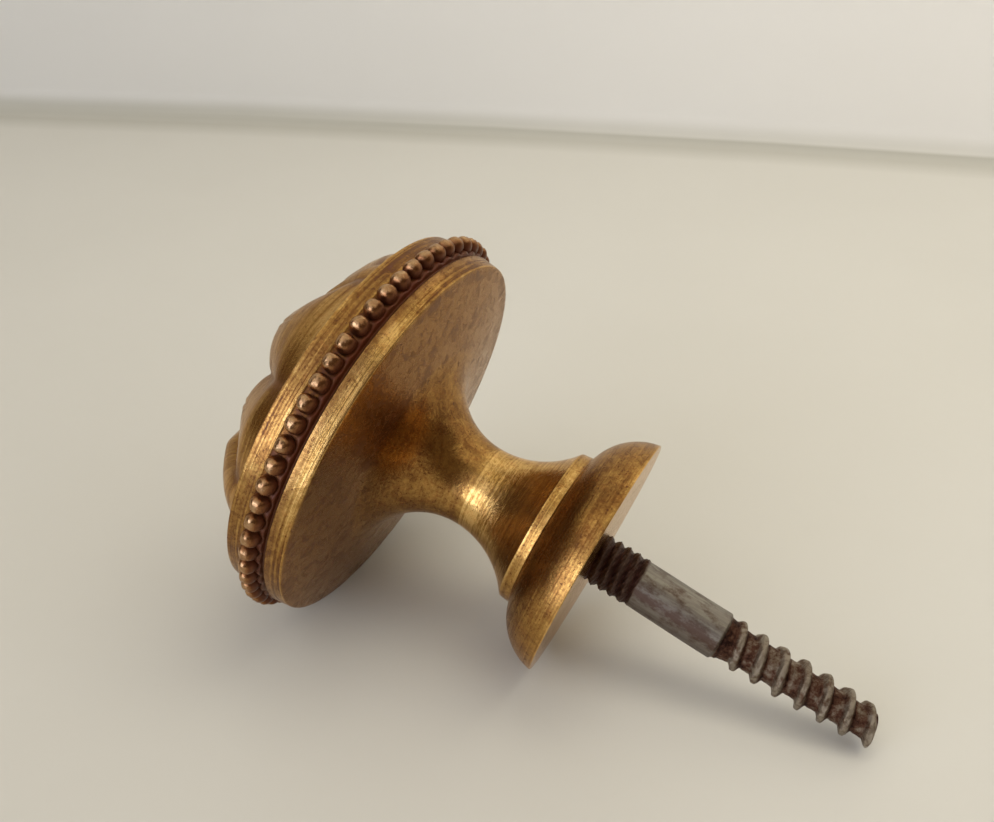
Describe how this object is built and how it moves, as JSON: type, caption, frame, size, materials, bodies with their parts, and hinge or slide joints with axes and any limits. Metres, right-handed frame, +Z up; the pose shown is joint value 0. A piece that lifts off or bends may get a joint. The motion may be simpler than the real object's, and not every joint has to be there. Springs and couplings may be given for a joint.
{
  "type": "furniture knob",
  "caption": "Round brass drawer knob with a petalled front, a beaded rim, a waisted stem and a steel dowel screw for a wooden drawer front.",
  "frame": {"origin": "centre of the seat, the flat back of the knob's foot that lies on the drawer front", "axes": "+Y along the screw into the drawer front, the head points to -Y, +Z up"},
  "size_m": [0.0322, 0.051, 0.0322],
  "materials": {
    "gilt_brass": "cast and turned brass, worn gilding with brown patina",
    "rusty_steel": "old steel, grey with brown rust in the threads"
  },
  "bodies": {
    "root": {"knob": "gilt_brass", "dowel_screw": "rusty_steel"}
  },
  "joints": []
}
